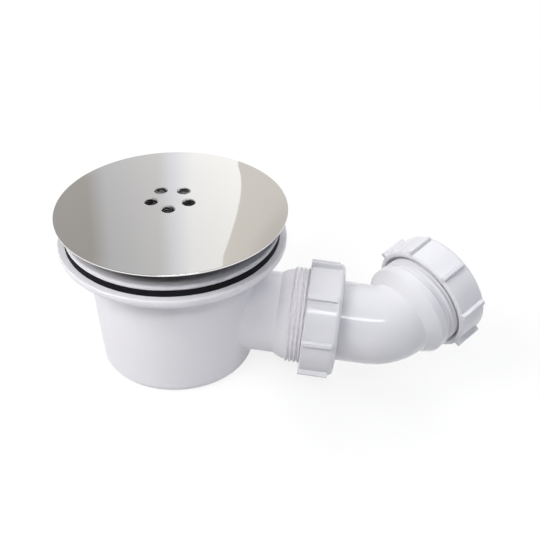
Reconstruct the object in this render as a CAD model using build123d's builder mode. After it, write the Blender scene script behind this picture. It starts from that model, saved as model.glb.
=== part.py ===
from build123d import *
from math import cos, radians, sin, sqrt, tan
import os

os.makedirs("parts", exist_ok=True)

# A shower trap for a 90 mm tray hole. Millimetres, +Z up. The origin is the tray seat: the centre of
# the gasket's top face, on the axis of the cup. The outlet leaves along +X and falls a few degrees.

# Cover
cover_diameter = 112.0
cover_sheet = 1.0
cover_crown = 5.5
cover_lift = 11.6
cover_edge_round = 0.3
drain_hole_count = 5
drain_hole_diameter = 6.0
drain_hole_ring = 9.4
drain_hole_rim = 0.4
drain_hole_turn = 58.0

# Cover carrier
carrier_leg_count = 4
carrier_leg_width = 8.0
carrier_leg_thickness = 3.0
carrier_arm_width = 3.0
carrier_arm_depth = 3.2
carrier_hub_radius = 17.0
carrier_hub_wall = 2.5
carrier_turn = 45.0
carrier_seat_gap = 0.2

# Top flange
lip_width = 13.0
lip_thickness = 2.4
lip_edge_round = 1.1
throat_width = 6.0
throat_drop = 3.5
neck_diameter = 78.0
neck_depth = 17.0
neck_wall = 3.0
ledge_thickness = 2.5
key_slot_count = 4
key_slot_width = 8.0
key_slot_depth = 6.0

# Gasket
gasket_thickness = 2.9
gasket_clearance = 1.0

# Trap body
flange_margin = 3.5
flange_thickness = 6.2
flange_top_round = 0.6
flange_under_round = 5.0
flange_root_round = 2.5
cup_depth = 71.5
cup_wall = 3.0
cup_floor = 2.6
cup_taper = 4.2
cup_foot_round = 4.0
cup_corner_round = 3.0
neck_clearance = 0.4
outlet_pocket = 4.2
weir_wall = 2.0
weir_gap = 3.0
weir_height = 43.0
weir_half_angle = 44.0

# Dip tube, its ring seal and the hair strainer
dip_wall = 2.0
dip_bottom_gap = 6.0
dip_rim_height = 6.0
dip_rim_clearance = 0.4
dip_rim_border = 4.5
ledge_clearance = 1.0
ring_seal_section = 3.0
ring_seal_gap = 0.1
strainer_thickness = 2.0
strainer_clearance = 0.4
strainer_slot_count = 16
strainer_slot_width = 3.0
strainer_slot_border = 2.5
strainer_hub_radius = 9.0

# Outlet spigot, and the pipe joint that both sockets share
outlet_drop = 41.4
outlet_fall = 5.0
spigot_wall = 2.5
spigot_reach = 51.8
flare_length = 5.4
flare_bulge = 0.3
collar_length = 0.4
pipe_diameter = 40.0
pipe_wall = 2.2
pipe_clearance = 0.3
socket_depth = 19.5
socket_length = 17.8
socket_wall = 2.5
thread_depth = 1.4
thread_pitch = 2.05
mouth_flare = 1.9
mouth_depth = 4.0
seal_nose = 2.8
seal_stand = 2.5
seal_clearance = 0.1
slip_ring_thickness = 1.5
slip_ring_clearance = 0.6

# Coupling nuts
nut_length = 17.4
nut_wall = 3.6
nut_end_wall = 3.5
nut_shoulder = 2.6
nut_thread_clearance = 0.35
nut_pipe_clearance = 0.6
nut_end_play = 0.3
nut_mouth_chamfer = 1.4
nut_lip_chamfer = 0.8
rib_count = 8
rib_width = 2.2
rib_height = 2.3
rib_root = 1.2
rib_round = 0.5
rib_length = 14.7
outlet_nut_turn = -10.0
pipe_nut_turn = 18.0

# Elbow
elbow_turn = 50.0
elbow_roll = 20.0
elbow_radius = 21.0
elbow_inlet_leg = 50.7
elbow_outlet_leg = 34.4
elbow_end_gap = 0.5
elbow_shoulder_start = 6.3
elbow_shoulder_sink = 0.8
elbow_shoulder_length = 7.6
elbow_shoulder_round = 1.2
elbow_band_length = 5.1
elbow_band_step = 0.4
elbow_band_chamfer = 0.6
elbow_land_length = 3.0

# Heights and radii that the pieces share
cover_radius = cover_diameter / 2
dome_radius = (cover_radius**2 + cover_crown**2) / (2 * cover_crown)
neck_radius = neck_diameter / 2
lip_radius = neck_radius + lip_width
neck_bore_radius = neck_radius - neck_wall
ledge_top = ledge_thickness - neck_depth
flange_radius = lip_radius + flange_margin
flange_top = -gasket_thickness
flange_bottom = flange_top - flange_thickness
body_bore_radius = neck_radius + neck_clearance
cup_mouth_radius = body_bore_radius + cup_wall
cup_lean = tan(radians(cup_taper))
cup_foot_radius = cup_mouth_radius - (cup_depth + flange_bottom) * cup_lean
floor_top = cup_floor - cup_depth
dip_radius = cup_foot_radius - cup_wall - outlet_pocket - weir_wall - weir_gap
dip_rim_radius = neck_bore_radius - dip_rim_clearance
dip_rim_top = ledge_top + dip_rim_height
strainer_recess_radius = dip_rim_radius - dip_rim_border
strainer_seat = dip_rim_top - strainer_thickness - strainer_clearance
weir_radius = dip_radius + weir_gap

# Axes of the outlet and of the elbow's far end
outlet_axis_dir = Vector(cos(radians(outlet_fall)), 0, -sin(radians(outlet_fall)))
outlet_start = Vector(0, 0, -outlet_drop)
outlet_section = Plane(origin=outlet_start, x_dir=outlet_axis_dir, z_dir=(0, -1, 0))
outlet_axis = Axis(outlet_start, outlet_axis_dir)
pipe_radius = pipe_diameter / 2
pipe_bore_radius = pipe_radius - pipe_wall
spigot_radius = pipe_bore_radius + spigot_wall
socket_radius = pipe_radius + pipe_clearance
mouth_radius = socket_radius + mouth_flare
thread_root_radius = socket_radius + socket_wall
thread_radius = thread_root_radius + thread_depth
thread_start = spigot_reach + flare_length + collar_length
spigot_end = thread_start + socket_length - collar_length
elbow_start = spigot_end - socket_depth + elbow_end_gap
elbow_corner = elbow_start + elbow_inlet_leg
elbow_side_dir = outlet_section.z_dir.reverse().rotate(Axis((0, 0, 0), outlet_axis_dir), elbow_roll)
elbow_normal = outlet_axis_dir.cross(elbow_side_dir)
elbow_plane = Plane(
    origin=outlet_start + outlet_axis_dir * elbow_corner, x_dir=outlet_axis_dir, z_dir=elbow_normal
)
pipe_axis_dir = outlet_axis_dir.rotate(Axis((0, 0, 0), elbow_normal), elbow_turn)
pipe_section = Plane(origin=elbow_plane.origin, x_dir=pipe_axis_dir, z_dir=elbow_normal)
pipe_axis = Axis(elbow_plane.origin, pipe_axis_dir)
elbow_setback = elbow_radius * tan(radians(elbow_turn / 2))


def dome_height(radius):
    """Height of the cover's top face above the tray seat at a distance from its axis."""
    return cover_lift + cover_crown - dome_radius + sqrt(dome_radius**2 - radius**2)


def ring_edges(part, radius, height=None):
    """Circular edges of one radius about the cup's axis, at one height if it is given."""
    circles = part.edges().filter_by(GeomType.CIRCLE)
    circles = circles.filter_by(lambda edge: abs(edge.radius - radius) < 0.01)
    if height is None:
        return circles
    return circles.filter_by(lambda edge: abs(edge.center().Z - height) < 0.01)


def thread_points(start, end):
    """Outline of the V thread along a socket from start to its mouth, as (along, radius) points."""
    points = [(start, thread_root_radius)]
    root = start + thread_pitch
    while root < end:
        points.append((root - thread_pitch / 2, thread_radius))
        points.append((root, thread_root_radius))
        root += thread_pitch
    points.append((end, thread_root_radius))
    return points


# Cover plate: one pressed sheet, its holes broken at the top edge
with BuildPart() as cover_plate:
    with BuildSketch(Plane.XZ):
        with BuildLine():
            half = cover_radius / 2
            rim_low = cover_lift - cover_sheet
            ThreePointArc((0, dome_height(0)), (half, dome_height(half)), (cover_radius, cover_lift))
            Line((cover_radius, cover_lift), (cover_radius, rim_low))
            ThreePointArc(
                (cover_radius, rim_low),
                (half, dome_height(half) - cover_sheet),
                (0, dome_height(0) - cover_sheet),
            )
            Line((0, dome_height(0) - cover_sheet), (0, dome_height(0)))
        make_face()
    revolve(axis=Axis.Z)
    fillet(ring_edges(cover_plate, cover_radius), cover_edge_round)
    with Locations(Plane.XY.offset(dome_height(drain_hole_ring))):
        with PolarLocations(drain_hole_ring, drain_hole_count, start_angle=drain_hole_turn):
            CounterSinkHole(drain_hole_diameter / 2, drain_hole_diameter / 2 + drain_hole_rim)
cover_plate.part.label = "cover_plate"
export_step(cover_plate.part, "parts/cover_plate.step")

# Cover carrier: a moulded spider glued under the dome, its legs standing on the dip tube's rim
carrier_leg_radius = dip_rim_radius - dip_rim_border / 2
carrier_seat = cover_sheet + carrier_seat_gap
carrier_arm_top = dome_height(carrier_leg_radius + carrier_leg_thickness / 2) - carrier_seat
carrier_arm_bottom = carrier_arm_top - carrier_arm_depth
carrier_hub_top = dome_height(carrier_hub_radius) - carrier_seat
with BuildPart() as cover_carrier:
    with BuildSketch(Plane.XY.offset(carrier_arm_bottom)):
        Circle(carrier_hub_radius)
        Circle(carrier_hub_radius - carrier_hub_wall, mode=Mode.SUBTRACT)
    extrude(amount=carrier_hub_top - carrier_arm_bottom)
    with BuildSketch(Plane.XY.offset(carrier_arm_bottom)):
        arm_length = carrier_leg_radius - carrier_hub_radius + carrier_hub_wall
        arm_middle = carrier_hub_radius - carrier_hub_wall / 2 + arm_length / 2
        with PolarLocations(arm_middle, carrier_leg_count, start_angle=carrier_turn):
            Rectangle(arm_length, carrier_arm_width)
        with PolarLocations(carrier_leg_radius, carrier_leg_count, start_angle=carrier_turn):
            Rectangle(carrier_leg_thickness, carrier_leg_width)
    extrude(amount=carrier_arm_depth)
    with BuildSketch(Plane.XY.offset(dip_rim_top)):
        with PolarLocations(carrier_leg_radius, carrier_leg_count, start_angle=carrier_turn):
            Rectangle(carrier_leg_thickness, carrier_leg_width)
    extrude(amount=carrier_arm_bottom - dip_rim_top)
cover_carrier.part.label = "cover_carrier"
export_step(cover_carrier.part, "parts/cover_carrier.step")

# Top flange: the ring that clamps the tray, its neck screwed into the cup, key slots in its throat
throat_radius = neck_bore_radius + throat_width
ledge_radius = dip_radius + ledge_clearance
with BuildPart() as top_flange:
    with BuildSketch(Plane.XZ):
        with BuildLine():
            Polyline(
                (neck_radius, -neck_depth),
                (neck_radius, 0),
                (lip_radius, 0),
                (lip_radius, lip_thickness),
                (throat_radius, lip_thickness),
                (neck_bore_radius, lip_thickness - throat_drop),
                (neck_bore_radius, ledge_top),
                (ledge_radius, ledge_top),
                (ledge_radius, -neck_depth),
                close=True,
            )
        make_face()
    revolve(axis=Axis.Z)
    fillet(ring_edges(top_flange, lip_radius), lip_edge_round)
    with BuildSketch(Plane.XY.offset(lip_thickness)):
        with PolarLocations(neck_bore_radius, key_slot_count):
            Rectangle(throat_width, key_slot_width)
    extrude(amount=-key_slot_depth, mode=Mode.SUBTRACT)
top_flange.part.label = "top_flange"
export_step(top_flange.part, "parts/top_flange.step")

# Body gasket: a flat rubber washer between the tray and the body's flange
with BuildPart() as body_gasket:
    with BuildSketch(Plane.XY.offset(flange_top)):
        Circle(lip_radius)
        Circle(neck_radius + gasket_clearance, mode=Mode.SUBTRACT)
    extrude(amount=gasket_thickness)
body_gasket.part.label = "body_gasket"
export_step(body_gasket.part, "parts/body_gasket.step")

# Space inside the cup, with the weir in front of the outlet left standing
cup_taper_start = -neck_depth - ledge_thickness
cup_inner_top = cup_mouth_radius - cup_wall + (cup_taper_start - flange_bottom) * cup_lean
cup_inner_foot = cup_foot_radius - cup_wall + cup_floor * cup_lean
weir_top = weir_height + floor_top
with BuildPart() as cup_space:
    with BuildSketch(Plane.XZ):
        with BuildLine():
            Polyline(
                (0, floor_top),
                (cup_inner_foot, floor_top),
                (cup_inner_top, cup_taper_start),
                (body_bore_radius, cup_taper_start),
                (body_bore_radius, flange_top),
                (0, flange_top),
                close=True,
            )
        make_face()
    revolve(axis=Axis.Z)
    fillet(ring_edges(cup_space, cup_inner_foot, floor_top), cup_corner_round)
    with BuildSketch(Plane.XY.offset(floor_top)):
        with BuildLine():
            beyond = cup_mouth_radius + weir_wall
            side = beyond * tan(radians(weir_half_angle))
            Polyline((0, 0), (beyond, -side), (beyond, side), close=True)
        make_face()
        Circle(weir_radius, mode=Mode.SUBTRACT)
        offset(amount=-weir_wall, mode=Mode.SUBTRACT)
    extrude(amount=weir_height, mode=Mode.SUBTRACT)

# Trap body: cup, flange and threaded outlet spigot, moulded in one
with BuildPart() as trap_body:
    with BuildSketch(Plane.XZ):
        with BuildLine():
            Polyline(
                (0, -cup_depth),
                (cup_foot_radius, -cup_depth),
                (cup_mouth_radius, flange_bottom),
                (flange_radius, flange_bottom),
                (flange_radius, flange_top),
                (0, flange_top),
                close=True,
            )
        make_face()
    revolve(axis=Axis.Z)
    fillet(ring_edges(trap_body, cup_foot_radius, -cup_depth), cup_foot_round)
    fillet(ring_edges(trap_body, cup_mouth_radius, flange_bottom), flange_root_round)
    fillet(ring_edges(trap_body, flange_radius, flange_bottom), flange_under_round)
    fillet(ring_edges(trap_body, flange_radius, flange_top), flange_top_round)
    with BuildSketch(outlet_section):
        with BuildLine():
            collar_start = spigot_reach + flare_length
            Polyline((dip_radius, 0), (dip_radius, spigot_radius), (spigot_reach, spigot_radius))
            SagittaArc((spigot_reach, spigot_radius), (collar_start, thread_root_radius), flare_bulge)
            Line((collar_start, thread_root_radius), (thread_start, thread_root_radius))
            Polyline(*thread_points(thread_start, spigot_end))
            Polyline((spigot_end, thread_root_radius), (spigot_end, 0), (dip_radius, 0))
        make_face()
    revolve(axis=outlet_axis)
    add(cup_space.part, mode=Mode.SUBTRACT)
    with BuildSketch(outlet_section):
        bore_start = (weir_radius + weir_wall) / cos(radians(outlet_fall))
        bore_start += pipe_bore_radius * tan(radians(outlet_fall))
        socket_stop = spigot_end - socket_depth
        with BuildLine():
            Polyline(
                (bore_start, 0),
                (bore_start, pipe_bore_radius),
                (socket_stop, pipe_bore_radius),
                (socket_stop, socket_radius),
                (spigot_end - mouth_depth, socket_radius),
                (spigot_end, mouth_radius),
                (spigot_end, 0),
                close=True,
            )
        make_face()
    revolve(axis=outlet_axis, mode=Mode.SUBTRACT)
trap_body.part.label = "trap_body"
export_step(trap_body.part, "parts/trap_body.step")

# Dip tube: the removable tube that makes the water seal, hung by its rim on the flange's ledge
groove_middle = ledge_top + dip_rim_height / 2
ring_seal_middle = neck_bore_radius - ring_seal_gap - ring_seal_section / 2
groove_radius = ring_seal_middle - ring_seal_section / 2 - ring_seal_gap
with BuildPart() as dip_tube:
    with BuildSketch(Plane.XZ):
        with BuildLine():
            groove_half = ring_seal_section / 2 + ring_seal_gap
            Polyline(
                (dip_rim_radius, ledge_top),
                (dip_rim_radius, groove_middle - groove_half),
                (groove_radius, groove_middle - groove_half),
                (groove_radius, groove_middle + groove_half),
                (dip_rim_radius, groove_middle + groove_half),
                (dip_rim_radius, dip_rim_top),
                (strainer_recess_radius, dip_rim_top),
                (strainer_recess_radius, strainer_seat),
                (dip_radius - dip_wall, strainer_seat),
                (dip_radius - dip_wall, floor_top + dip_bottom_gap),
                (dip_radius, floor_top + dip_bottom_gap),
                (dip_radius, ledge_top),
                close=True,
            )
        make_face()
    revolve(axis=Axis.Z)
dip_tube.part.label = "dip_tube"
export_step(dip_tube.part, "parts/dip_tube.step")

# Ring seal of the dip tube: a rubber ring in the groove of its rim
with BuildPart() as dip_tube_seal:
    with BuildSketch(Plane.XZ):
        with Locations((ring_seal_middle, groove_middle)):
            Circle(ring_seal_section / 2)
    revolve(axis=Axis.Z)
dip_tube_seal.part.label = "dip_tube_seal"
export_step(dip_tube_seal.part, "parts/dip_tube_seal.step")

# Hair strainer: a slotted disc that drops into the recess of the dip tube's rim
strainer_radius = strainer_recess_radius - strainer_clearance
with BuildPart() as hair_strainer:
    with BuildSketch(Plane.XY.offset(strainer_seat)):
        slot_inner = strainer_hub_radius
        slot_outer = dip_radius - dip_wall - strainer_slot_border
        Circle(strainer_radius)
        with PolarLocations((slot_inner + slot_outer) / 2, strainer_slot_count):
            SlotOverall(slot_outer - slot_inner, strainer_slot_width, mode=Mode.SUBTRACT)
    extrude(amount=strainer_thickness)
hair_strainer.part.label = "hair_strainer"
export_step(hair_strainer.part, "parts/hair_strainer.step")

# Elbow: a plain end that slides into the spigot, a tight bend and a threaded socket for the waste pipe
elbow_band_radius = thread_radius + elbow_band_step
elbow_band_start = elbow_shoulder_start + elbow_shoulder_length
elbow_band_end = elbow_band_start + elbow_band_length
elbow_thread_start = elbow_band_end + elbow_land_length
elbow_socket_stop = elbow_outlet_leg - socket_depth
with BuildPart() as elbow:
    with BuildLine(elbow_plane) as elbow_route:
        inlet_leg = Line((-elbow_inlet_leg, 0), (-elbow_setback, 0))
        bend = JernArc(inlet_leg @ 1, inlet_leg % 1, radius=elbow_radius, arc_size=elbow_turn)
        Line(bend @ 1, bend @ 1 + (bend % 1) * (elbow_outlet_leg - elbow_setback))
    elbow_inlet_face = Plane(outlet_start + outlet_axis_dir * elbow_start, z_dir=outlet_axis_dir)
    with BuildSketch(elbow_inlet_face):
        Circle(pipe_radius)
    sweep(path=elbow_route.wire())
    with BuildSketch(pipe_section):
        with BuildLine():
            shoulder_foot = (elbow_shoulder_start, pipe_radius - elbow_shoulder_sink)
            band_edge = (elbow_band_end - elbow_band_chamfer, elbow_band_radius)
            Line((elbow_shoulder_start, 0), shoulder_foot)
            FilletPolyline(
                shoulder_foot,
                (elbow_band_start, elbow_band_radius),
                band_edge,
                radius=elbow_shoulder_round,
            )
            Polyline(
                band_edge,
                (elbow_band_end, elbow_band_radius - elbow_band_chamfer),
                (elbow_band_end, thread_root_radius),
                (elbow_thread_start, thread_root_radius),
            )
            Polyline(*thread_points(elbow_thread_start, elbow_outlet_leg))
            Line((elbow_outlet_leg, thread_root_radius), (elbow_outlet_leg, 0))
            Line((elbow_outlet_leg, 0), (elbow_shoulder_start, 0))
        make_face()
    revolve(axis=pipe_axis)
    with BuildSketch(elbow_inlet_face):
        Circle(pipe_bore_radius)
    sweep(path=elbow_route.wire(), mode=Mode.SUBTRACT)
    with BuildSketch(pipe_section):
        with BuildLine():
            Polyline(
                (elbow_socket_stop, 0),
                (elbow_socket_stop, socket_radius),
                (elbow_outlet_leg - mouth_depth, socket_radius),
                (elbow_outlet_leg, mouth_radius),
                (elbow_outlet_leg, 0),
                close=True,
            )
        make_face()
    revolve(axis=pipe_axis, mode=Mode.SUBTRACT)
elbow.part.label = "elbow"
export_step(elbow.part, "parts/elbow.step")


def cone_seal(section, axis, mouth, name):
    """Tapered rubber ring that the nut presses into the mouth of a socket."""
    mouth_slope = (mouth_radius - socket_radius) / mouth_depth
    seal_radius = mouth_radius - seal_clearance
    with BuildPart() as seal:
        with BuildSketch(section):
            with BuildLine():
                Polyline(
                    (mouth - seal_nose, socket_radius),
                    (mouth - seal_nose, seal_radius - seal_nose * mouth_slope),
                    (mouth, seal_radius),
                    (mouth + seal_stand, seal_radius),
                    (mouth + seal_stand, socket_radius),
                    close=True,
                )
            make_face()
        revolve(axis=axis)
    seal.part.label = name
    export_step(seal.part, f"parts/{name}.step")


def slip_ring(section, axis, mouth, name):
    """Thin hard ring that lets the nut turn without dragging the cone seal."""
    low = mouth + seal_stand
    high = low + slip_ring_thickness
    outer = thread_radius - slip_ring_clearance
    with BuildPart() as ring:
        with BuildSketch(section):
            with BuildLine():
                Polyline(
                    (low, socket_radius), (low, outer), (high, outer), (high, socket_radius), close=True
                )
            make_face()
        revolve(axis=axis)
    ring.part.label = name
    export_step(ring.part, f"parts/{name}.step")


def coupling_nut(section, axis, mouth, turn, name):
    """Ribbed hand nut: threaded skirt over the socket, rounded end that bears on the slip ring."""
    end_face = mouth + seal_stand + slip_ring_thickness + nut_end_play
    far = end_face + nut_end_wall
    near = far - nut_length
    bore = thread_radius + nut_thread_clearance
    outer = bore + nut_wall
    eye = pipe_radius + nut_pipe_clearance
    near_centre = section.from_local_coords((near, 0))
    grip_plane = Plane(origin=near_centre, x_dir=section.y_dir, z_dir=axis.direction)
    with BuildPart() as nut:
        with BuildSketch(section):
            with BuildLine():
                Polyline(
                    (near, bore + nut_mouth_chamfer),
                    (near, outer - nut_lip_chamfer),
                    (near + nut_lip_chamfer, outer),
                    (far - nut_shoulder, outer),
                )
                TangentArc((far - nut_shoulder, outer), (far, outer - nut_shoulder), tangent=(1, 0))
                Polyline(
                    (far, outer - nut_shoulder),
                    (far, eye),
                    (end_face, eye),
                    (end_face, bore),
                    (near + nut_mouth_chamfer, bore),
                    (near, bore + nut_mouth_chamfer),
                )
            make_face()
        revolve(axis=axis)
        with BuildSketch(grip_plane):
            with PolarLocations(outer + (rib_height - rib_root) / 2, rib_count, start_angle=turn):
                RectangleRounded(rib_height + rib_root, rib_width, rib_round)
        extrude(amount=rib_length)
    nut.part.label = name
    export_step(nut.part, f"parts/{name}.step")


cone_seal(outlet_section, outlet_axis, spigot_end, "outlet_seal")
slip_ring(outlet_section, outlet_axis, spigot_end, "outlet_slip_ring")
coupling_nut(outlet_section, outlet_axis, spigot_end, outlet_nut_turn, "outlet_nut")
cone_seal(pipe_section, pipe_axis, elbow_outlet_leg, "pipe_seal")
slip_ring(pipe_section, pipe_axis, elbow_outlet_leg, "pipe_slip_ring")
coupling_nut(pipe_section, pipe_axis, elbow_outlet_leg, pipe_nut_turn, "pipe_nut")
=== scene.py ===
import math

import bmesh
import bpy
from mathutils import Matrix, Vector

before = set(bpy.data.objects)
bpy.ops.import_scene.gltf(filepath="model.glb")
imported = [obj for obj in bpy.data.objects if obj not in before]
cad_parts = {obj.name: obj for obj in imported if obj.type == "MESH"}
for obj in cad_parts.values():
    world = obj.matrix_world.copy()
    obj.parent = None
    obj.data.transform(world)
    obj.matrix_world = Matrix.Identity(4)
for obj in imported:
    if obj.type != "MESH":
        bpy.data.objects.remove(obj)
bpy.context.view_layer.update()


# Trap body: the cup, its flange and the threaded outlet, one moulding in white polypropylene.
# The mould's fine spark texture leaves the skin satin, with faint clouds where the melt spread.
class Shade:
    """One output of a node. A sum or product of values adds a Math node to the same finish."""

    def __init__(self, finish, socket):
        self.finish = finish
        self.socket = socket

    def maths(self, operation, first, second):
        return self.finish.node("ShaderNodeMath", {"operation": operation}, {0: first, 1: second})

    def __add__(self, other):
        return self.maths("ADD", self, other)

    def __radd__(self, other):
        return self.maths("ADD", other, self)

    def __sub__(self, other):
        return self.maths("SUBTRACT", self, other)

    def __rsub__(self, other):
        return self.maths("SUBTRACT", other, self)

    def __mul__(self, other):
        return self.maths("MULTIPLY", self, other)

    def __rmul__(self, other):
        return self.maths("MULTIPLY", other, self)

    def __truediv__(self, other):
        return self.maths("DIVIDE", self, other)

    def __rtruediv__(self, other):
        return self.maths("DIVIDE", other, self)


class Finish:
    """The nodes of one material or of the world. Lengths in its patterns are metres on the piece."""

    def __init__(self, tree):
        self.tree = tree
        self.tree.nodes.clear()

    def feed(self, socket, value):
        if isinstance(value, Shade):
            self.tree.links.new(value.socket, socket)
        else:
            socket.default_value = value

    def node(self, kind, settings, sockets, output=0):
        """Adds a node: its settings first, then a value or a link for each socket."""
        made = self.tree.nodes.new(kind)
        for name, value in settings.items():
            if name == "stops":
                ramp = made.color_ramp.elements
                while len(ramp) < len(value):
                    ramp.new(1.0)
                for element, (place, colour) in zip(ramp, value):
                    element.position = place
                    element.color = colour
            else:
                setattr(made, name, value)
        for name, value in sockets.items():
            self.feed(made.inputs[name], value)
        return Shade(self, made.outputs[output]) if made.outputs else None

    def place(self):
        """Position on the piece, in metres."""
        return self.node("ShaderNodeTexCoord", {}, {}, "Object")

    def noise(self, size, detail, place=None):
        """Soft random pattern from 0 to 1, its lumps about one size across, with finer ones on them."""
        where = place or self.place()
        return self.node(
            "ShaderNodeTexNoise", {}, {"Vector": where, "Scale": 1 / size, "Detail": detail}
        )

    def blend(self, share, first, second):
        """Colour between two colours."""
        return self.node(
            "ShaderNodeMix", {"data_type": "RGBA"}, {0: share, 6: first, 7: second}, 2
        )

    def bump(self, height, depth):
        """Surface normal raised by a pattern from 0 to 1, over a depth in metres."""
        return self.node("ShaderNodeBump", {}, {"Height": height, "Distance": depth})

    def surface(self, sockets):
        shader = self.node("ShaderNodeBsdfPrincipled", {}, sockets)
        self.node("ShaderNodeOutputMaterial", {}, {"Surface": shader})


def material(name):
    made = bpy.data.materials.new(name)
    made.use_nodes = True
    return made


def dress(finish, *names):
    """Puts a material on the named solids."""
    for name in names:
        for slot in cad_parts[name].material_slots:
            slot.material = finish


satin_white = (0.878, 0.861, 0.888, 1)
satin_cloud = (0.853, 0.839, 0.868, 1)
satin_cloud_size = 0.035
satin_cloud_detail = 3.0
satin_grain_size = 0.0005
satin_grain_detail = 1.0
satin_grain_depth = 0.000006
satin_roughness = 0.34
satin_cloud_roughness = 0.1
satin_grain_roughness = 0.08
polypropylene_ior = 1.49


def satin_polypropylene(name, tone, cloud_tone):
    made = material(name)
    finish = Finish(made.node_tree)
    cloud = finish.noise(satin_cloud_size, satin_cloud_detail)
    grain = finish.noise(satin_grain_size, satin_grain_detail)
    rougher = satin_cloud_roughness * cloud + satin_grain_roughness * grain
    finish.surface(
        {
            "Base Color": finish.blend(cloud, tone, cloud_tone),
            "Roughness": satin_roughness + rougher,
            "Normal": finish.bump(grain, satin_grain_depth),
            "IOR": polypropylene_ior,
        }
    )
    return made


dress(satin_polypropylene("satin_polypropylene", satin_white, satin_cloud), "trap_body")


# Body gasket: a flat washer cut from black rubber sheet, squeezed under the tray. The dip tube's
# ring and the two cone seals of the pipe joints are moulded in the same rubber.
rubber_black = (0.006, 0.006, 0.008, 1)
rubber_bloom = (0.016, 0.016, 0.019, 1)
rubber_bloom_size = 0.006
rubber_bloom_detail = 4.0
rubber_grain_size = 0.0007
rubber_grain_detail = 2.0
rubber_grain_depth = 0.00005
rubber_roughness = 0.5
rubber_bloom_roughness = 0.2
rubber_shine = 0.08


def black_rubber():
    made = material("black_rubber_sheet")
    finish = Finish(made.node_tree)
    bloom = finish.noise(rubber_bloom_size, rubber_bloom_detail)
    grain = finish.noise(rubber_grain_size, rubber_grain_detail)
    finish.surface(
        {
            "Base Color": finish.blend(bloom * bloom, rubber_black, rubber_bloom),
            "Roughness": rubber_roughness + rubber_bloom_roughness * bloom,
            "Normal": finish.bump(grain, rubber_grain_depth),
            "Specular IOR Level": rubber_shine,
        }
    )
    return made


dress(black_rubber(), "body_gasket", "dip_tube_seal", "outlet_seal", "pipe_seal")


# Top flange: the ring that clamps the tray from above, screwed into the cup by its own neck. It is
# moulded in the same satin polypropylene as the cup. Its colour is painted a shade greyer than the
# cup's, as painted shade for the shade that falls on it under the cover.
flange_shaded_white = (0.76, 0.745, 0.775, 1)
flange_shaded_cloud = (0.74, 0.727, 0.758, 1)
dress(satin_polypropylene("satin_flange_painted_shade", flange_shaded_white, flange_shaded_cloud), "top_flange")


# Dip tube, hair strainer and cover carrier: the loose inner pieces, plain white polypropylene
# from an unpolished mould, and the two slip rings that ride behind the cone seals.
plain_white = (0.85, 0.85, 0.86, 1)
plain_shade = (0.79, 0.79, 0.81, 1)
plain_cloud_size = 0.02
plain_cloud_detail = 3.0
plain_grain_size = 0.0008
plain_grain_detail = 2.0
plain_grain_depth = 0.00004
plain_roughness = 0.5
plain_grain_roughness = 0.15


def plain_polypropylene():
    made = material("plain_polypropylene")
    finish = Finish(made.node_tree)
    cloud = finish.noise(plain_cloud_size, plain_cloud_detail)
    grain = finish.noise(plain_grain_size, plain_grain_detail)
    finish.surface(
        {
            "Base Color": finish.blend(cloud, plain_white, plain_shade),
            "Roughness": plain_roughness + plain_grain_roughness * grain,
            "Normal": finish.bump(grain, plain_grain_depth),
            "IOR": polypropylene_ior,
        }
    )
    return made


dress(
    plain_polypropylene(),
    "dip_tube",
    "hair_strainer",
    "cover_carrier",
    "outlet_slip_ring",
    "pipe_slip_ring",
)


# Cover plate: one disc of stainless sheet, pressed to a shallow dome, pierced and mirror polished.
# The polishing wheel leaves hair lines across it, and pressing leaves the mirror very slightly
# wavy. The underside and the lower half of the cut edge stay dull, as the sheet was rolled, and their
# colour is painted near black as painted shade under the rim.
steel_light = (0.92, 0.915, 0.905, 1)
steel_deep = (0.89, 0.885, 0.875, 1)
# Near black: painted shade for the underside and the lower half of the cut edge.
steel_painted_shade = (0.10, 0.10, 0.10, 1)
steel_polished_above = -0.1
steel_cloud_size = 0.03
steel_cloud_detail = 3.0
steel_wave_size = 0.045
steel_wave_detail = 0.0
steel_wave_depth = 0.00004
hair_line_width = 0.0006
hair_line_length = 0.08
hair_line_detail = 2.0
mirror_roughness = 0.012
hair_line_roughness = 0.02
steel_cloud_roughness = 0.01
steel_dull_roughness = 0.4


def polished_stainless():
    made = material("polished_stainless")
    finish = Finish(made.node_tree)
    stretch = finish.node(
        "ShaderNodeVectorMath",
        {"operation": "MULTIPLY"},
        {0: finish.place(), 1: (hair_line_width / hair_line_length, 1, 1)},
    )
    hair_lines = finish.noise(hair_line_width, hair_line_detail, stretch)
    cloud = finish.noise(steel_cloud_size, steel_cloud_detail)
    wave = finish.noise(steel_wave_size, steel_wave_detail)
    facing = finish.node("ShaderNodeTexCoord", {}, {}, "Normal")
    upward = finish.node("ShaderNodeSeparateXYZ", {}, {0: facing}, "Z")
    # Faces that point down are left dull, and their colour is painted near black as painted shade.
    unpolished_shaded_face = finish.node(
        "ShaderNodeMath", {"operation": "LESS_THAN"}, {0: upward, 1: steel_polished_above}
    )
    mirror = finish.blend(cloud, steel_light, steel_deep)
    polish_marks = hair_line_roughness * hair_lines + steel_cloud_roughness * cloud
    finish.surface(
        {
            "Base Color": finish.blend(unpolished_shaded_face, mirror, steel_painted_shade),
            "Metallic": 1.0,
            "Roughness": mirror_roughness + polish_marks + steel_dull_roughness * unpolished_shaded_face,
            "Normal": finish.bump(wave, steel_wave_depth),
        }
    )
    return made


dress(polished_stainless(), "cover_plate")


# Elbow and coupling nuts: glossier mouldings in white polypropylene from a polished mould, with a
# thin bright skin. The nuts screw over the sockets and the elbow swivels in the outlet's socket.
gloss_white = (0.755, 0.752, 0.779, 1)
gloss_cloud = (0.735, 0.733, 0.764, 1)
gloss_cloud_size = 0.03
gloss_cloud_detail = 3.0
gloss_ripple_size = 0.006
gloss_ripple_detail = 1.0
gloss_ripple_depth = 0.000012
gloss_roughness = 0.11
gloss_cloud_roughness = 0.06


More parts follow.
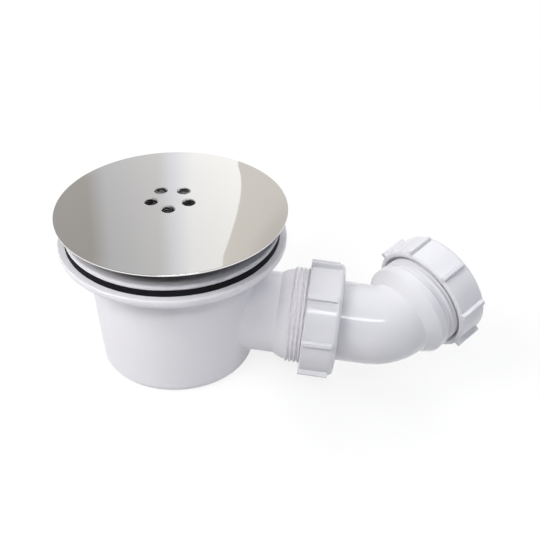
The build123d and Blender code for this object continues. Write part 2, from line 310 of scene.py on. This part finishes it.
def gloss_polypropylene():
    made = material("gloss_polypropylene")
    finish = Finish(made.node_tree)
    cloud = finish.noise(gloss_cloud_size, gloss_cloud_detail)
    ripple = finish.noise(gloss_ripple_size, gloss_ripple_detail)
    finish.surface(
        {
            "Base Color": finish.blend(cloud, gloss_white, gloss_cloud),
            "Roughness": gloss_roughness + gloss_cloud_roughness * cloud,
            "Normal": finish.bump(ripple, gloss_ripple_depth),
            "IOR": polypropylene_ior,
        }
    )
    return made


dress(gloss_polypropylene(), "elbow", "outlet_nut", "pipe_nut")


# Floor: a wide pale sheet laid over the edge of a low table. The cup's foot stands on the table, and
# the sheet falls away under the outlet, so that the elbow can swivel right round above it. The
# camera sees it near white, and the soft shadow stays on it.
floor_reach = 4.0
floor_tone = (0.64, 0.64, 0.65, 1)
floor_white = (1, 1, 1, 1)
floor_whiteness = 0.8
floor_fade_radius = 0.7
floor_fibre_size = 0.004
floor_fibre_detail = 3.0
floor_roughness = 0.2
floor_fibre_roughness = 0.2
table_edge = 0.036
fall_end = 0.112
fall_height = 0.033
fall_steps = 24


def eased(share):
    """Goes from 0 to 1 with a level start and a level end."""
    return share * share * (3 - 2 * share)


body_points = [point.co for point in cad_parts["trap_body"].data.vertices]
table_height = min(point.z for point in body_points if point.x < table_edge)
fold_line = [(-floor_reach, table_height)]
for step in range(fall_steps + 1):
    share = step / fall_steps
    run = table_edge + share * (fall_end - table_edge)
    fold_line.append((run, table_height - fall_height * eased(share)))
fold_line.append((floor_reach, table_height - fall_height))

floor_corners = []
for run, level in fold_line:
    floor_corners += [(run, -floor_reach, level), (run, floor_reach, level)]
floor_strips = [
    (corner, corner + 2, corner + 3, corner + 1)
    for corner in range(0, len(floor_corners) - 2, 2)
]
floor_data = bpy.data.meshes.new("floor")
floor_data.from_pydata(floor_corners, [], floor_strips)
floor_data.update()
floor = bpy.data.objects.new("floor", floor_data)
bpy.context.scene.collection.objects.link(floor)


def seen_share(finish):
    """1 for what the camera sees, straight, in a mirror or through glass, and else 0."""
    straight = finish.node("ShaderNodeLightPath", {}, {}, "Is Camera Ray")
    mirrored = finish.node("ShaderNodeLightPath", {}, {}, "Is Glossy Ray")
    through = finish.node("ShaderNodeLightPath", {}, {}, "Is Transmission Ray")
    return finish.node("ShaderNodeClamp", {}, {"Value": straight + mirrored + through})


floor_material = material("pale_floor")
sheet = Finish(floor_material.node_tree)
fibre = sheet.noise(floor_fibre_size, floor_fibre_detail)
seen = seen_share(sheet)
away = sheet.node("ShaderNodeVectorMath", {"operation": "LENGTH"}, {0: sheet.place()}, "Value")
far_off = sheet.node("ShaderNodeClamp", {}, {"Value": away / floor_fade_radius})
whiteness = floor_whiteness + (1 - floor_whiteness) * far_off
paper = sheet.node(
    "ShaderNodeBsdfDiffuse",
    {},
    {
        "Color": sheet.blend(seen, floor_tone, floor_white),
        "Roughness": floor_roughness + floor_fibre_roughness * fibre,
        "Normal": sheet.node("ShaderNodeCombineXYZ", {}, {"Z": 1.0}),
    },
)
glow = sheet.node("ShaderNodeEmission", {}, {"Color": floor_white, "Strength": 1.0})
lit = sheet.node("ShaderNodeMixShader", {}, {0: seen * whiteness, 1: paper, 2: glow})
sheet.node("ShaderNodeOutputMaterial", {}, {"Surface": lit})
floor_data.materials.append(floor_material)


# Studio: a white surround for the camera and for reflections. On the rest it throws a soft light
# that is brightest overhead and fades towards the floor, so the gap under the cover stays dark.
horizon_light = (0.01, 0.01, 0.012, 1)
zenith_light = (0.2, 0.2, 0.205, 1)
studio_white = (1, 1, 1, 1)
world = bpy.data.worlds.new("studio")
bpy.context.scene.world = world
world.use_nodes = True
surround = Finish(world.node_tree)
towards = surround.node("ShaderNodeTexCoord", {}, {}, "Generated")
upward = surround.node("ShaderNodeSeparateXYZ", {}, {0: towards}, "Z")
overhead = surround.node("ShaderNodeClamp", {}, {"Value": upward})
soft_light = surround.blend(overhead * overhead, horizon_light, zenith_light)
backdrop = surround.node(
    "ShaderNodeBackground",
    {},
    {"Color": surround.blend(seen_share(surround), soft_light, studio_white)},
)
surround.node("ShaderNodeOutputWorld", {}, {"Surface": backdrop})


# Grey cards: curved screens round the table, which the polished cover mirrors. The left one fades
# to white towards the back, and the right one starts with a sharp edge, so that a bright band
# shows between them. Bearings are degrees from the back of the table, positive to the right.
card_ring_radius = 20.0
card_ring_sides = 96
card_ring_rows = 48
card_upright = 34.0
left_card_pivot = -11.0
left_card_fan = 0.0177
left_card_top = 1.06
left_card_fade = 0.0032
left_card_tones = [
    (-180, (0.60, 0.60, 0.60, 1)),
    (-120, (0.42, 0.41, 0.40, 1)),
    (-27.5, (0.39, 0.37, 0.35, 1)),
    (-24, (0.53, 0.53, 0.54, 1)),
    (-14.5, (0.63, 0.62, 0.62, 1)),
    (-11.2, (0.80, 0.80, 0.84, 1)),
    (-8.7, (0.93, 0.93, 0.93, 1)),
    (0, (1.0, 0.99, 0.97, 1)),
]
right_card_edge = 0.3
right_card_slope = 0.11
right_card_bow = 0.00275
right_card_tones = [
    (0, (0.665, 0.635, 0.59, 1)),
    (6, (0.64, 0.61, 0.565, 1)),
    (9, (0.55, 0.52, 0.485, 1)),
    (90, (0.50, 0.50, 0.50, 1)),
    (180, (0.60, 0.60, 0.60, 1)),
]
half_turn = 180
to_degrees = half_turn / math.pi

ring_mesh = bmesh.new()
bmesh.ops.create_uvsphere(
    ring_mesh, u_segments=card_ring_sides, v_segments=card_ring_rows, radius=card_ring_radius
)
below = [vertex for vertex in ring_mesh.verts if vertex.co.z < 0]
bmesh.ops.delete(ring_mesh, geom=below, context="VERTS")
ring_data = bpy.data.meshes.new("grey_cards")
ring_mesh.to_mesh(ring_data)
ring_mesh.free()
cards = bpy.data.objects.new("grey_cards", ring_data)
bpy.context.scene.collection.objects.link(cards)
cards.visible_camera = False
cards.visible_diffuse = False
cards.visible_shadow = False

card_material = material("grey_cards")
card = Finish(card_material.node_tree)
spot = card.place()
east = card.node("ShaderNodeSeparateXYZ", {}, {0: spot}, "X")
north = card.node("ShaderNodeSeparateXYZ", {}, {0: spot}, "Y")
height = card.node("ShaderNodeSeparateXYZ", {}, {0: spot}, "Z")
turned = card.node("ShaderNodeMath", {"operation": "ARCTAN2"}, {0: east, 1: north})
raised = card.node("ShaderNodeMath", {"operation": "ARCSINE"}, {0: height / card_ring_radius})
bearing = turned * to_degrees
rise = raised * to_degrees
tilt = rise - card_upright
fanned = left_card_pivot + (bearing - left_card_pivot) * (1 - left_card_fan * tilt)
left_tone = card.node(
    "ShaderNodeValToRGB",
    {"stops": [(1 + angle / half_turn, colour) for angle, colour in left_card_tones]},
    {0: 1 + fanned / half_turn},
)
right_tone = card.node(
    "ShaderNodeValToRGB",
    {"stops": [(angle / half_turn, colour) for angle, colour in right_card_tones]},
    {0: bearing / half_turn},
)
past_edge = card.node(
    "ShaderNodeMath",
    {"operation": "GREATER_THAN"},
    {0: bearing, 1: right_card_edge + right_card_slope * tilt - right_card_bow * tilt * tilt},
)
fading = left_card_top - left_card_fade * rise
faded_left = card.node(
    "ShaderNodeVectorMath", {"operation": "SCALE"}, {0: left_tone, "Scale": fading}
)
tone = card.blend(past_edge, faded_left, right_tone)
glow_card = card.node("ShaderNodeEmission", {}, {"Color": tone, "Strength": 1.0})
card.node("ShaderNodeOutputMaterial", {}, {"Surface": glow_card})
ring_data.materials.append(card_material)


# Lamps: a high key softbox at the front left, weaker ones at the left, overhead and behind, a cool
# one at the right, and a slim strip above the camera. Only the strip shows as a highlight.
lamp_aim = Vector((0.05, 0, -0.03))
daylight = (1, 1, 1)
cool_light = (0.82, 0.88, 1.0)


def softbox(name, place, size, power, tint=daylight, mirrored=False):
    lamp = bpy.data.lights.new(name, "AREA")
    lamp.shape = "RECTANGLE"
    lamp.size, lamp.size_y = size
    lamp.energy = power
    lamp.color = tint
    box = bpy.data.objects.new(name, lamp)
    bpy.context.scene.collection.objects.link(box)
    box.location = place
    box.rotation_mode = "QUATERNION"
    box.rotation_quaternion = (lamp_aim - Vector(place)).to_track_quat("-Z", "Y")
    box.visible_glossy = mirrored


softbox("key_softbox", place=(-0.7, -0.82, 1.1), size=(0.7, 0.7), power=12.5)
softbox("left_softbox", place=(-1.1, -0.35, 0.9), size=(0.6, 0.6), power=7.0)
softbox("right_softbox", place=(1.1, -0.35, 0.8), size=(0.7, 0.7), power=3.2, tint=cool_light)
softbox("back_softbox", place=(0.3, 0.7, 1.0), size=(0.9, 0.6), power=7.0)
softbox("top_softbox", place=(0.1, -0.1, 1.3), size=(0.9, 0.7), power=1.2)
softbox("front_strip", place=(0.2, -0.72, 0.74), size=(0.55, 0.11), power=1.9, mirrored=True)


# Camera: where the photograph was taken from, a little right of the cup's axis and looking down on
# the cover. Its place, direction and lens were worked out from the rims in the photograph.
camera_lens = 73.45
camera_sensor_width = 36.0
camera_place = Vector((0.0955, -0.4418, 0.2867))
camera_look = Vector((-0.0888, 0.8177, -0.5688))

camera_data = bpy.data.cameras.new("camera")
camera_data.lens = camera_lens
camera_data.sensor_width = camera_sensor_width
camera = bpy.data.objects.new("camera", camera_data)
bpy.context.scene.collection.objects.link(camera)
camera.location = camera_place
camera.rotation_mode = "QUATERNION"
camera.rotation_quaternion = camera_look.to_track_quat("-Z", "Y")
bpy.context.scene.camera = camera
bpy.context.scene.view_settings.view_transform = "Standard"
